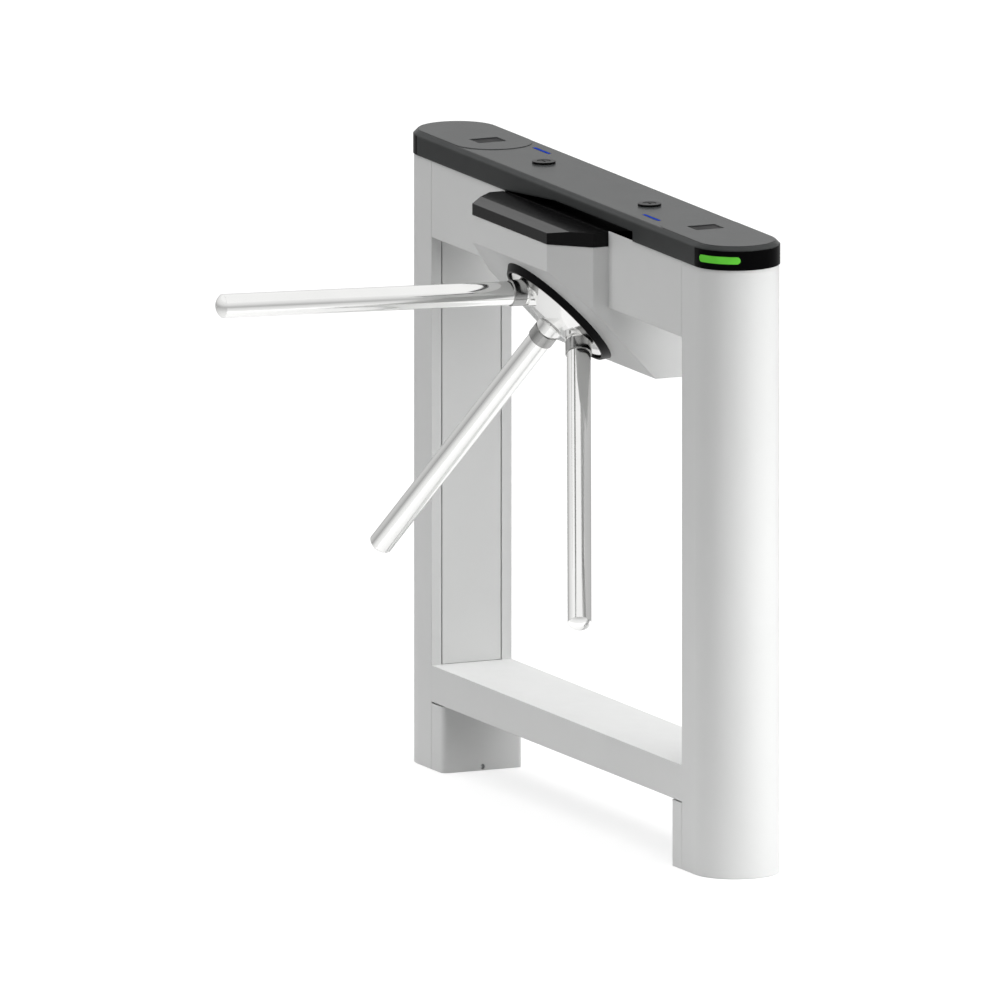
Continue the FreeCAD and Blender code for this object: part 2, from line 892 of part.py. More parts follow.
def make_hub():
    pieces = [dome("hub_dome", size.hub_radius, size.hub_crown, size.hub_rim, -size.hub_back)]
    sockets = []
    for angle in ARM_ANGLES.values():
        boss = rod("hub_boss", size.boss_radius, (size.arm_start, size.boss_end))
        pieces.append(placed(boss, arm_place(angle)))
        socket = rod("hub_socket", size.arm_radius + size.arm_fit, (size.arm_start, collar_end))
        sockets.append(placed(socket, arm_place(angle)))
        spot_radius = size.collar_radius + size.arm_fit
        spot_face = rod("hub_spot_face", spot_radius, (size.collar_start, collar_end))
        sockets.append(placed(spot_face, arm_place(angle)))
    bore_span = (-size.hub_back, -size.hub_back + size.shaft_bore_depth)
    bore = rod("hub_bore", size.shaft_radius, bore_span)
    keep(cut("hub", fuse("hub_blank", *pieces), bore, *sockets), hub_frame)


def make_arms():
    tube_end = size.arm_reach - size.tip_dome
    collars = []
    tips = []
    for label, angle in ARM_ANGLES.items():
        name = label + "_arm"
        pipe = tube(name, size.arm_radius, size.arm_radius - size.arm_wall, (size.arm_start, tube_end))
        keep(pipe, hub_frame.multiply(arm_place(angle)))
        span = (size.collar_start, collar_end)
        collar = tube(label + "_collar", size.collar_radius, size.arm_radius + size.arm_fit, span)
        collar.Placement = arm_place(angle)
        collars.append(collar)
        crown = dome(label + "_tip_dome", size.arm_radius, size.arm_reach, tube_end, tube_end)
        plug_radius = size.arm_radius - size.arm_wall - size.arm_fit
        plug = rod(label + "_tip_plug", plug_radius, (tube_end - size.tip_plug, tube_end))
        tip = fuse(label + "_tip", crown, plug)
        tip.Placement = arm_place(angle)
        tips.append(tip)
    keep(group("arm_collars", *collars), hub_frame)
    keep(group("arm_end_caps", *tips), hub_frame)


make_hub()
make_arms()

# Depths along the rotor axis, counted down from the slanted face
front_plate = (-(size.front_plate_depth + size.plate_thickness), -size.front_plate_depth)
rear_plate_top = front_plate[0] - size.cage_depth
rear_plate = (rear_plate_top - size.plate_thickness, rear_plate_top)
disc = (front_plate[0] - size.disc_gap - size.disc_thickness, front_plate[0] - size.disc_gap)
cam = (disc[0] - size.cam_gap - size.cam_thickness, disc[0] - size.cam_gap)
gear = (cam[0] - size.gear_gap - size.gear_width, cam[0] - size.gear_gap)
encoder = (rear_plate[0] - size.encoder_gap - size.encoder_thickness, rear_plate[0] - size.encoder_gap)
front_bearing = (front_plate[0], front_plate[0] + size.bearing_width)
rear_bearing = (rear_plate[0], rear_plate[0] + size.bearing_width)
disc_middle = (disc[0] + disc[1]) / 2
cam_middle = (cam[0] + cam[1]) / 2
shaft_hole = size.shaft_radius + size.running_fit
gear_centres = size.gear_module * (size.gear_teeth + size.pinion_teeth) / 2 + size.gear_backlash
pinion_hole = size.pinion_shaft_radius + size.fit


# Cage: two plates held apart by spacers, hung from the slanted face by four studs
def make_cage():
    front_x = about(size.plate_half_width)
    front_y = about(size.plate_half_height)
    front = block("front_plate_blank", front_x, front_y, front_plate)
    seat = rod("front_plate_seat", size.bearing_radius, front_plate)
    keep(cut("front_plate", front, seat), hub_frame)
    rear_x = about(size.rear_half_width)
    rear_y = (-size.rear_low, size.rear_high)
    rear = block("rear_plate_blank", rear_x, rear_y, rear_plate)
    seat = rod("rear_plate_seat", size.bearing_radius, rear_plate)
    pinion_way = rod("rear_plate_pinion_way", pinion_hole, rear_plate, (gear_centres, 0))
    keep(cut("rear_plate", rear, seat, pinion_way), hub_frame)
    studs = []
    spacers = []
    for sign in (-1, 1):
        for place in (-size.stud_y, size.stud_y):
            span = (front_plate[1], -size.skin)
            studs.append(rod("stud", size.stud_radius, span, (sign * size.stud_x, place)))
        for place in (-size.spacer_low, size.spacer_high):
            span = (rear_plate[1], front_plate[0])
            spacers.append(rod("spacer", size.stud_radius, span, (sign * size.spacer_x, place)))
    keep(group("cage_studs", *studs), hub_frame)
    keep(group("cage_spacers", *spacers), hub_frame)
    rings = []
    for span in (front_bearing, rear_bearing):
        rings.append(tube("bearing", size.bearing_radius, shaft_hole, span))
    keep(group("shaft_bearings", *rings), hub_frame)


# Shaft and what turns with it
def make_shaft():
    top = -size.hub_back + size.shaft_bore_depth
    shoulder = rear_plate[0]
    thick = rod("shaft_thick", size.shaft_radius, (shoulder, top))
    stub = rod("shaft_stub", size.stub_radius, (shoulder - size.stub_length, shoulder))
    keep(fuse("main_shaft", thick, stub), hub_frame)


def make_lock_disc():
    blank = rod("lock_disc_blank", size.disc_radius, disc)
    tools = [rod("lock_disc_bore", size.shaft_radius, disc)]
    for index in range(3):
        low = size.disc_radius - size.disc_notch_depth
        notch = block("lock_disc_notch", about(size.disc_notch_half), (low, size.disc_radius), disc)
        tools.append(placed(notch, moved(angle=120 * index)))
    keep(cut("lock_disc", blank, *tools), hub_frame)


def make_index_cam():
    pieces = [rod("index_cam_body", size.cam_radius, cam)]
    for index in range(3):
        lobe = rod("index_cam_lobe", size.lobe_radius, cam, (size.lobe_offset, 0))
        pieces.append(placed(lobe, moved(angle=120 * index)))
    bore = rod("index_cam_bore", size.shaft_radius, cam)
    keep(cut("index_cam", fuse("index_cam_blank", *pieces), bore), hub_frame)


def gear_blank(name, teeth, span):
    """A spur gear with involute teeth, one of them on the X axis."""
    wires = fcgear.FCWireBuilder()
    pressure_angle = 20
    involute.CreateExternalGear(wires, size.gear_module.number, teeth, pressure_angle)
    outline = Part.Wire([edge.toShape() for edge in wires.wire])
    low, high = span
    item = doc.addObject("Part::Feature", name)
    item.Shape = Part.Face(outline).extrude(FreeCAD.Vector(0, 0, (high - low).number))
    item.Placement = moved(z=low.number)
    return item


def make_gears():
    wheel = gear_blank("drive_gear_blank", int(size.gear_teeth.number), gear)
    bore = rod("drive_gear_bore", size.shaft_radius, gear)
    keep(cut("drive_gear", wheel, bore), hub_frame)
    teeth = int(size.pinion_teeth.number)
    pinion = gear_blank("damper_pinion_teeth", teeth, gear)
    half_tooth = 180 - 180 / teeth
    pinion.Placement = moved(x=gear_centres.number, z=gear[0].number, angle=half_tooth)
    tail = rear_plate[0] - size.damper_bore
    axle = rod("damper_pinion_axle", size.pinion_shaft_radius, (tail, gear[1]), (gear_centres, 0))
    keep(fuse("damper_pinion", pinion, axle), hub_frame)
    span = (rear_plate[0] - size.damper_length, rear_plate[0])
    case = rod("damper_case", size.damper_radius, span, (gear_centres, 0))
    bore_span = (tail - size.fit, rear_plate[0])
    bore_radius = size.pinion_shaft_radius + size.running_fit
    bore = rod("damper_bore", bore_radius, bore_span, (gear_centres, 0))
    keep(cut("damper_body", case, bore), hub_frame)


def make_encoder():
    plate = rod("encoder_disc_blank", size.encoder_radius, encoder)
    tools = [rod("encoder_disc_bore", size.stub_radius, encoder)]
    count = int(size.encoder_holes.number)
    for index in range(count):
        hole = rod("encoder_disc_hole", size.encoder_hole_radius, encoder, (size.encoder_hole_ring, 0))
        tools.append(placed(hole, moved(angle=360 * index / count)))
    keep(cut("encoder_disc", plate, *tools), hub_frame)
    gap = size.sensor_clearance
    near = size.encoder_radius - size.sensor_half
    far = size.encoder_radius + size.sensor_reach
    low = encoder[0] - gap - size.encoder_thickness
    body = block("sensor_body", about(size.sensor_half), (near, far), (low, rear_plate[0]))
    mouth_y = (near, size.encoder_radius + gap)
    mouth = block("sensor_mouth", about(size.sensor_half), mouth_y, (encoder[0] - gap, encoder[1] + gap))
    keep(cut("encoder_sensor", body, mouth), hub_frame)


make_cage()
make_shaft()
make_lock_disc()
make_index_cam()
make_gears()
make_encoder()


# Two pawls that lock the disc, each pulled by its own solenoid
def make_pawls():
    pins = []
    coils = []
    lower = size.pawl_pivot_y - size.pawl_half_height
    upper = size.pawl_pivot_y + size.pawl_half_height
    core_x = size.pawl_pivot_x + size.pawl_tail - size.core_radius - size.fit
    coil_top = lower - size.coil_gap
    coil_bottom = coil_top - size.coil_height
    for side, sign in (("right", 1), ("left", -1)):
        name = side + "_pawl"
        tail = size.pawl_pivot_x + size.pawl_tail
        bar = block(name + "_bar", mirrored(sign, size.pawl_near, tail), (lower, upper), disc)
        tooth_low = size.disc_radius + size.tooth_clearance
        tooth_x = mirrored(sign, size.pawl_near, size.pawl_near + size.tooth_width)
        tooth = block(name + "_tooth", tooth_x, (tooth_low, lower), disc)
        pivot = (sign * size.pawl_pivot_x, size.pawl_pivot_y)
        hole = rod(name + "_hole", size.pawl_pin_radius + size.running_fit, disc, pivot)
        keep(cut(name, fuse(name + "_blank", bar, tooth), hole), hub_frame)
        pin_z = (disc[0] - size.fit, front_plate[0])
        pins.append(rod("pawl_pin", size.pawl_pin_radius, pin_z, pivot))
        x = sign * core_x
        coil_z = (2 * disc_middle - front_plate[0], front_plate[0])
        coil_x = (x - size.coil_half, x + size.coil_half)
        case = block("solenoid_case", coil_x, (coil_bottom, coil_top), coil_z)
        bore_radius = size.core_radius + size.running_fit
        bore_y = (coil_bottom + size.coil_floor, coil_top)
        bore = rod("solenoid_bore", bore_radius, bore_y, (x, disc_middle), axis="y")
        coils.append(cut("solenoid", case, bore))
        core_y = (bore_y[0] + size.core_back, lower - size.core_gap)
        core = rod(side + "_core_rod", size.core_radius, core_y, (x, disc_middle), axis="y")
        keep(group(side + "_solenoid_core", core), hub_frame)
    keep(group("pawl_pins", *pins), hub_frame)
    keep(group("solenoids", *coils), hub_frame)


# Sprung plunger whose roller rides on the index cam
def make_plunger():
    crest = size.lobe_offset + size.lobe_radius
    tip = -(crest + size.plunger_clearance)
    roller_x = tip - size.plunger_radius
    roller_z = (cam_middle - size.roller_height / 2, cam_middle + size.roller_height / 2)
    roller = rod("plunger_roller", size.plunger_radius, roller_z, (roller_x, 0))
    stem = rod(
        "plunger_stem",
        size.plunger_radius - size.running_fit,
        (roller_x - size.plunger_length, roller_x),
        (0, cam_middle),
        axis="x",
    )
    keep(fuse("index_plunger", roller, stem), hub_frame)
    near = -(crest + size.cartridge_gap)
    far = near - size.cartridge_length
    low = cam_middle - size.plunger_radius - size.cartridge_floor
    case = block("cartridge_case", (far, near), about(size.cartridge_half), (low, front_plate[0]))
    bore = rod("cartridge_bore", size.plunger_radius, (far, near), (0, cam_middle), axis="x")
    keep(cut("plunger_cartridge", case, bore), hub_frame)


make_pawls()
make_plunger()


# Controller board on standoffs behind the left head panel
def make_board():
    x, z = -size.board_place, (head_bottom + head_top) / 2
    half_x = size.board_length / 2
    half_z = size.board_width / 2
    back = inside_half - size.standoff_length
    face = back - size.board_thickness
    pieces = [block("board_plate", (x - half_x, x + half_x), (face, back), (z - half_z, z + half_z))]
    for sign_x in (-1, 1):
        for sign_z in (-1, 1):
            place_x = x + sign_x * (half_x - size.standoff_inset)
            place = (place_x, z + sign_z * (half_z - size.standoff_inset))
            span = (back, inside_half)
            pieces.append(rod("board_standoff", size.standoff_radius, span, place, axis="y"))
        chip_x = x + sign_x * size.chip_size
        chip_half = size.chip_size / 2
        pieces.append(
            block(
                "board_chip",
                (chip_x - chip_half, chip_x + chip_half),
                (face - size.chip_height, face),
                (z - chip_half, z + chip_half),
            )
        )
    keep(fuse("controller_board", *pieces))


make_board()

# Check everything, then write one file for each piece
doc.recompute()
broken = [item.Label for item in doc.Objects if "Invalid" in item.State or "Error" in item.State]
if broken:
    raise RuntimeError("objects that failed: " + ", ".join(broken))
for item in nodes:
    if item.Shape.isNull() or not item.Shape.isValid() or not item.Shape.Solids:
        raise RuntimeError("no valid shape: " + item.Label)

os.makedirs("parts", exist_ok=True)
for item in nodes:
    item.Shape.exportStep("parts/%s.step" % item.Label)
print(len(nodes), "pieces written")
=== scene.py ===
import json
import math

import bmesh
import bpy
from mathutils import Matrix, Vector


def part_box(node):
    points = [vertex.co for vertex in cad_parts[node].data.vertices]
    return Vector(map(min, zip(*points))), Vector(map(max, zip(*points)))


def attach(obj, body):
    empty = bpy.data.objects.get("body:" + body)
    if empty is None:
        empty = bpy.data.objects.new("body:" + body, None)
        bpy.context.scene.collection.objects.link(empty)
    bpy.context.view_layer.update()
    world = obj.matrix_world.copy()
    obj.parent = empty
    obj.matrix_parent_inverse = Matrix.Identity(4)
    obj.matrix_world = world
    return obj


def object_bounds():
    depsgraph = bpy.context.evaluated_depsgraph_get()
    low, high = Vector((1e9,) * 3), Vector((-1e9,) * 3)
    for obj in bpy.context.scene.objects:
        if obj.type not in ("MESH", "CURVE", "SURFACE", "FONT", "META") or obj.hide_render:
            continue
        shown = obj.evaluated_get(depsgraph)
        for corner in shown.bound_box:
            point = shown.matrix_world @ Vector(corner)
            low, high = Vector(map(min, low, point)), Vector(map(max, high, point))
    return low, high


# The looks of a tripod turnstile: painted posts and head, dark plastic cap and lid, polished arms.
# Lengths are in metres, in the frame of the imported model.

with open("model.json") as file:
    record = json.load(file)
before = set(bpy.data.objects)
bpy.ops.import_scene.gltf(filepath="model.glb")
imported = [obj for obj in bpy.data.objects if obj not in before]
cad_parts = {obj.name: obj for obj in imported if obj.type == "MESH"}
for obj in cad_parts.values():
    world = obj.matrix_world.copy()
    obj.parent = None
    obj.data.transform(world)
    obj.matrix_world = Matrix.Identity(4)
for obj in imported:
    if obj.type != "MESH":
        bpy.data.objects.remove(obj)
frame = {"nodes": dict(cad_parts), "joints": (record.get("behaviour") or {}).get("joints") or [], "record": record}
cad_low, cad_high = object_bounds()
nodes = frame["nodes"]
record = frame["record"]
joints = {joint["name"]: joint for joint in frame["joints"]}

UP = (0, 0, 1)
ALONG = (1, 0, 0)
SPIN = joints["rotor_spin"]["axis"]
WHITE = (1.0, 1.0, 1.0, 1.0)
BLACK = (0.0, 0.0, 0.0, 1.0)
UNIT_RANGE = (0.0, 1.0)


def add_object(name, data):
    item = bpy.data.objects.new(name, data)
    bpy.context.scene.collection.objects.link(item)
    return item


def set_down(item, place, aim, front):
    """Sets an object down at a place, with one of its own axes turned to another place."""
    item.location = place
    item.rotation_mode = "QUATERNION"
    item.rotation_quaternion = (Vector(aim) - Vector(place)).to_track_quat(front, "Y")


# Shader building blocks
def shader_of(owner, name="Principled BSDF"):
    """The node tree of a material or a world, and the shader in it."""
    owner.use_nodes = True
    return owner.node_tree, owner.node_tree.nodes[name]


def map_range(tree, value, source, target):
    """A value carried over evenly from one range to another."""
    node = tree.nodes.new("ShaderNodeMapRange")
    sockets = ("From Min", "From Max", "To Min", "To Max")
    for socket, number in zip(sockets, (*source, *target)):
        node.inputs[socket].default_value = number
    tree.links.new(value, node.inputs["Value"])
    return node.outputs["Result"]


def calculate(tree, operation, first, second):
    """One number made from two others."""
    node = tree.nodes.new("ShaderNodeMath")
    node.operation = operation
    tree.links.new(first, node.inputs[0])
    tree.links.new(second, node.inputs[1])
    return node.outputs["Value"]


# The range that most of a noise lies in
NOISE_RANGE = (0.3, 0.7)
# Cosine of the turn between the plain and the rounded normal, off an edge and on it
EDGE_RANGE = (0.99, 0.8)
EDGE_BREAKS = 180.0


class Finish:
    """A Principled material under construction, with textures placed in the frame of the part."""

    def __init__(self, name, colour, roughness, metallic=0.0, specular=0.5):
        self.material = bpy.data.materials.new(name)
        self.tree, self.shader = shader_of(self.material)
        self.set("Base Color", (*colour, 1.0))
        self.set("Roughness", roughness)
        self.set("Metallic", metallic)
        self.set("Specular IOR Level", specular)
        self.place = self.add("ShaderNodeTexCoord").outputs["Object"]

    def set(self, socket, value):
        self.shader.inputs[socket].default_value = value

    def add(self, kind, **inputs):
        """A node, with its inputs set to plain values or linked to other nodes' outputs."""
        node = self.tree.nodes.new(kind)
        for socket, value in inputs.items():
            target = node.inputs[socket]
            if isinstance(value, bpy.types.NodeSocket):
                self.tree.links.new(value, target)
            else:
                target.default_value = value
        return node

    def feed(self, output, socket):
        self.tree.links.new(output, self.shader.inputs[socket])

    def noise(self, scale, detail=2.0, place=None):
        """Cloudy noise from 0 to 1, with a number of features per metre."""
        vector = self.place if place is None else place
        return self.add("ShaderNodeTexNoise", Vector=vector, Scale=scale, Detail=detail).outputs["Fac"]

    def spread(self, value, low, high):
        """Noise stretched from its usual middle range to lie between two values."""
        return map_range(self.tree, value, NOISE_RANGE, (low, high))

    def roughen(self, value, low, high):
        """A roughness that drifts between two values."""
        self.feed(self.spread(value, low, high), "Roughness")

    def tint(self, value, dark, light):
        """A base colour that drifts between two near shades."""
        ramp = self.add("ShaderNodeValToRGB", Fac=self.spread(value, *UNIT_RANGE))
        ramp.color_ramp.elements[0].color = (*dark, 1.0)
        ramp.color_ramp.elements[1].color = (*light, 1.0)
        self.feed(ramp.outputs["Color"], "Base Color")

    def relief(self, height, depth, strength, edge):
        """A fine surface relief, over edges that are rounded by a small radius."""
        rounded = self.add("ShaderNodeBevel", Radius=edge).outputs["Normal"]
        bump = self.add("ShaderNodeBump", Height=height, Strength=strength, Distance=depth, Normal=rounded)
        self.feed(bump.outputs["Normal"], "Normal")

    def edges(self, radius):
        """One along sharp edges and zero on open surfaces, broken up by noise."""
        rounded = self.add("ShaderNodeBevel", Radius=radius)
        plain = self.add("ShaderNodeNewGeometry")
        turn = self.add("ShaderNodeVectorMath")
        turn.operation = "DOT_PRODUCT"
        self.tree.links.new(rounded.outputs["Normal"], turn.inputs[0])
        self.tree.links.new(plain.outputs["Normal"], turn.inputs[1])
        mask = map_range(self.tree, turn.outputs["Value"], EDGE_RANGE, UNIT_RANGE)
        return calculate(self.tree, "MULTIPLY", mask, self.spread(self.noise(EDGE_BREAKS), 0.2, 1.0))

    def mix_along_edges(self, colour, radius):
        """Mixes another shade into the base colour along the edges."""
        base = self.shader.inputs["Base Color"].links[0].from_socket
        mix = self.tree.nodes.new("ShaderNodeMix")
        mix.data_type = "RGBA"
        self.tree.links.new(self.edges(radius), mix.inputs["Factor"])
        self.tree.links.new(base, mix.inputs["A"])
        mix.inputs["B"].default_value = (*colour, 1.0)
        self.feed(mix.outputs["Result"], "Base Color")

    def stretched(self, axis, along, across):
        """A place whose features are long along an axis, given as features per metre."""
        turn = Vector(axis).rotation_difference(Vector(UP)).to_euler()
        mapping = self.add("ShaderNodeMapping", Vector=self.place, Rotation=turn)
        scale = self.add("ShaderNodeVectorMath", Vector=mapping.outputs["Vector"])
        scale.operation = "MULTIPLY"
        scale.inputs[1].default_value = (across, across, along)
        return scale.outputs["Vector"]

    def streaks(self, axis, along, across, detail):
        """Noise drawn out into lines along an axis."""
        return self.noise(1.0, detail, self.stretched(axis, along, across))


def shades(colour, change):
    """A darker and a lighter shade of a colour."""
    return [tuple(channel * factor for channel in colour) for factor in (1 - change, 1 + change)]


# Materials
PLASTIC_SPECULAR = 0.055
LID_SPECULAR = 0.11
WINDOW_SPECULAR = 0.03


def body_paint():
    """Light grey powder coat: a faint orange peel and soft edges."""
    colour = (0.72, 0.725, 0.72)
    finish = Finish("body_paint", colour, 0.42, specular=0.3)
    finish.tint(finish.noise(6.0), *shades(colour, 0.012))
    # A darker shade mixed into the colour along the sharp edges, broken up by noise
    finish.mix_along_edges(shades(colour, 0.06)[0], 0.0015)
    finish.roughen(finish.noise(40.0), 0.38, 0.46)
    finish.relief(finish.noise(650.0), depth=0.00004, strength=0.5, edge=0.0012)
    return finish.material


def moulded(name, colour, rough, grain, depth, edge):
    """Moulded plastic with a fine spark-eroded grain."""
    finish = Finish(name, colour, rough, specular=PLASTIC_SPECULAR)
    finish.tint(finish.noise(25.0), *shades(colour, 0.05))
    finish.roughen(finish.noise(20.0), rough * 0.97, rough * 1.03)
    finish.relief(finish.noise(grain, 4.0), depth=depth, strength=0.4, edge=edge)
    return finish.material


def gloss(name, colour, rough, specular):
    """Polished plastic with faint wiping marks in its shine."""
    finish = Finish(name, colour, rough, specular=specular)
    marks = finish.streaks(ALONG, along=8.0, across=90.0, detail=3.0)
    finish.roughen(marks, rough * 0.9, rough * 1.1)
    finish.tint(finish.noise(30.0), *shades(colour, 0.06))
    finish.relief(finish.noise(200.0), depth=0.000005, strength=0.3, edge=0.0008)
    return finish.material


def lit_diffuser(name, colour, glow):
    """A translucent cover with light behind it, a little brighter over each lamp."""
    finish = Finish(name, colour, 0.35, specular=0.0)
    finish.set("Emission Color", (*colour, 1.0))
    finish.feed(finish.spread(finish.noise(60.0, 0.0), glow * 0.85, glow * 1.15), "Emission Strength")
    finish.tint(finish.noise(90.0), *shades(colour, 0.05))
    finish.relief(finish.noise(1500.0), depth=0.00002, strength=0.4, edge=0.0004)
    return finish.material


def polished_metal(name, colour, rough, axis, streak):
    """Polished metal with fine lines left by the polishing belt along an axis."""
    finish = Finish(name, colour, rough, metallic=1.0)
    lines = finish.streaks(axis, along=4.0, across=1500.0, detail=3.0)
    finish.roughen(lines, rough * (1 - streak), rough * (1 + streak))
    finish.tint(finish.noise(12.0), *shades(colour, 0.02))
    finish.relief(lines, depth=0.000002, strength=0.25, edge=0.0008)
    return finish.material


def brushed_metal(name, colour, rough, axis):
    """Ground or brushed metal with lines along an axis."""
    finish = Finish(name, colour, rough, metallic=1.0)
    lines = finish.streaks(axis, along=20.0, across=3000.0, detail=4.0)
    finish.tint(lines, *shades(colour, 0.1))
    finish.roughen(lines, rough * 0.8, rough * 1.2)
    finish.relief(lines, depth=0.00001, strength=0.4, edge=0.0005)
    return finish.material


def galvanised():
    """Zinc-dipped steel with patchy crystals."""
    colour = (0.5, 0.51, 0.52)
    finish = Finish("galvanised", colour, 0.45, metallic=1.0)
    flakes = finish.add("ShaderNodeTexVoronoi", Vector=finish.place, Scale=140.0).outputs["Distance"]
    finish.tint(flakes, *shades(colour, 0.12))
    finish.roughen(flakes, 0.36, 0.55)
    finish.relief(flakes, depth=0.00002, strength=0.3, edge=0.0008)
    return finish.material


def coil_wrap():
    """Taped copper windings: fine turns under a red-brown tape."""
    colour = (0.3, 0.09, 0.04)
    finish = Finish("coil_wrap", colour, 0.4)
    turns = finish.add("ShaderNodeTexWave", Vector=finish.place, Scale=160.0, Distortion=0.4)
    turns.bands_direction = "Z"
    finish.tint(turns.outputs["Fac"], *shades(colour, 0.2))
    finish.relief(turns.outputs["Fac"], depth=0.0001, strength=0.5, edge=0.0005)
    return finish.material


def circuit_board():
    """Green solder mask with a faint maze of tracks under it."""
    colour = (0.03, 0.16, 0.06)
    finish = Finish("circuit_board", colour, 0.35)
    tracks = finish.add("ShaderNodeTexVoronoi", Vector=finish.place, Scale=260.0)
    tracks.distance = "CHEBYCHEV"
    finish.tint(tracks.outputs["Distance"], *shades(colour, 0.35))
    finish.relief(tracks.outputs["Distance"], depth=0.00003, strength=0.4, edge=0.0003)
    return finish.material


CHROME = (0.88, 0.88, 0.87)
HUB_CHROME = (0.80, 0.80, 0.79)
COLLAR_STEEL = (0.36, 0.36, 0.355)
CHROME_ROUGHNESS = 0.09
COLLAR_ROUGHNESS = 0.16
ARM_STREAK = 0.3
HUB_STREAK = 0.2

# Name, colour, roughness, grain as features per metre, depth of the grain, and radius of the edges
MOULDED = [
    ("cap_grey", (0.043, 0.045, 0.045), 0.25, 1800.0, 0.00001, 0.005),
    ("ring_black", (0.004, 0.004, 0.0045), 0.35, 2500.0, 0.00003, 0.0008),
    ("lock_dark", (0.004, 0.0043, 0.0043), 0.25, 2500.0, 0.00002, 0.0006),
    ("lock_steel", (0.008, 0.008, 0.0085), 0.3, 2500.0, 0.00002, 0.0006),
    ("damper_black", (0.03, 0.03, 0.032), 0.5, 1200.0, 0.00008, 0.0008),
]
# Name, colour, roughness and shine
GLOSS = [
    ("lid_black", (0.006, 0.006, 0.0062), 0.2, LID_SPECULAR),
    ("gloss_black", (0.002, 0.002, 0.0022), 0.1, WINDOW_SPECULAR),
    ("reader_glass", (0.006, 0.006, 0.0065), 0.38, WINDOW_SPECULAR),
]
# Name, colour and strength of the light
LIGHTS = [
    ("green_light", (0.11, 0.5, 0.045), 0.25),
    ("blue_light", (0.012, 0.035, 0.27), 0.3),
]
# Name, colour, roughness, axis of the polishing lines, and how far they change the roughness
POLISHED = [
    ("arm_chrome", CHROME, CHROME_ROUGHNESS, SPIN, ARM_STREAK),
    ("hub_chrome", HUB_CHROME, CHROME_ROUGHNESS, SPIN, HUB_STREAK),
]
# Name, colour, roughness and axis of the lines
BRUSHED = [
    ("cage_steel", (0.55, 0.55, 0.53), 0.38, ALONG),
    ("bright_steel", (0.6, 0.6, 0.61), 0.28, SPIN),
    ("gear_brass", (0.62, 0.47, 0.2), 0.3, SPIN),
]

materials = {
    "body_paint": body_paint(),
    "frame_steel": galvanised(),
    "coil_wrap": coil_wrap(),
    "board_green": circuit_board(),
}
tables = [
    (moulded, MOULDED),
    (gloss, GLOSS),
    (lit_diffuser, LIGHTS),
    (polished_metal, POLISHED),
    (brushed_metal, BRUSHED),
]
for make, rows in tables:
    for row in rows:
        materials[row[0]] = make(*row)


def wear(node, material):
    """Gives a node of the frame one finish all over."""
    node.data.materials.clear()
    node.data.materials.append(material)


def arm_axis(arm):
    """The direction of an arm, from its near end to its far end."""
    low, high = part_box(arm)
    hub_low, hub_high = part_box("hub")
    return ((low + high) / 2 - (hub_low + hub_high) / 2).normalized()


for subpart in record["subparts"]:
    wear(nodes[subpart["node"]], materials[subpart["material_slot"]])

# The collars are duller than the tubes, and the polishing lines of a tube run along it
wear(nodes["arm_collars"], polished_metal("collar_steel", COLLAR_STEEL, COLLAR_ROUGHNESS, SPIN, ARM_STREAK))
for arm in ("upper_arm", "left_arm", "right_arm"):
    chrome = polished_metal(arm + "_chrome", CHROME, CHROME_ROUGHNESS, arm_axis(arm), ARM_STREAK)
    wear(nodes[arm], chrome)

# Screws that hold the covers on the far side
SCREW_SIDES = 24
SCREW_INSET = 0.014
SCREW_PROFILE = [
    # Distance from the axis, height above the cover, and whether the ring is six-sided
    (0.0, 0.0008, False),
    (0.0015, 0.0008, True),
    (0.0015, 0.0022, True),
    (0.0027, 0.0022, False),
    (0.0036, 0.0019, False),
    (0.0043, 0.0012, False),
    (0.0046, 0.0004, False),
    (0.0046, 0.0, False),
    (0.0, 0.0, False),
]


def ring_points(radius, height, six_sided):
    """The corners of one ring of a turned shape, as points about the Z axis."""
    points = []
    for index in range(SCREW_SIDES):
        angle = 2 * math.pi * index / SCREW_SIDES
        reach = radius
        if six_sided:
            reach = radius / math.cos(angle % (math.pi / 3) - math.pi / 6)
        points.append(Vector((reach * math.cos(angle), reach * math.sin(angle), height)))
    return points


def add_screw(mesh, place):
    """Adds a button-head screw whose axis is along Y, with its seat at a place."""
    turn = Matrix.Translation(place) @ Matrix.Rotation(math.radians(-90), 4, "X")
    rings = []
    for radius, height, six_sided in SCREW_PROFILE:
        points = ring_points(radius, height, six_sided) if radius else [Vector((0, 0, height))]
        rings.append([mesh.verts.new(turn @ point) for point in points])
    for lower, upper in zip(rings, rings[1:]):
        for index in range(SCREW_SIDES):
            after = (index + 1) % SCREW_SIDES
            if len(lower) == 1:
                mesh.faces.new((lower[0], upper[after], upper[index]))
            elif len(upper) == 1:
                mesh.faces.new((lower[index], lower[after], upper[0]))
            else:
                mesh.faces.new((lower[index], lower[after], upper[after], upper[index]))


def make_screws(name, cover, columns):
    """Two rows of screws along the top and the bottom of a cover on the far side."""
    low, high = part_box(cover)
    mesh = bmesh.new()
    left, right = low.x + SCREW_INSET, high.x - SCREW_INSET
    for column in range(columns):
        x = left + (right - left) * column / (columns - 1)
        for z in (low.z + SCREW_INSET, high.z - SCREW_INSET):
            add_screw(mesh, Vector((x, high.y, z)))
    bmesh.ops.recalc_face_normals(mesh, faces=mesh.faces)
    data = bpy.data.meshes.new(name)
    mesh.to_mesh(data)
    mesh.free()
    screws = add_object(name, data)
    wear(screws, materials["bright_steel"])
    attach(screws, "frame")


make_screws("service_cover_screws", "service_cover", columns=3)
make_screws("back_panel_screws", "head_back_panel", columns=5)

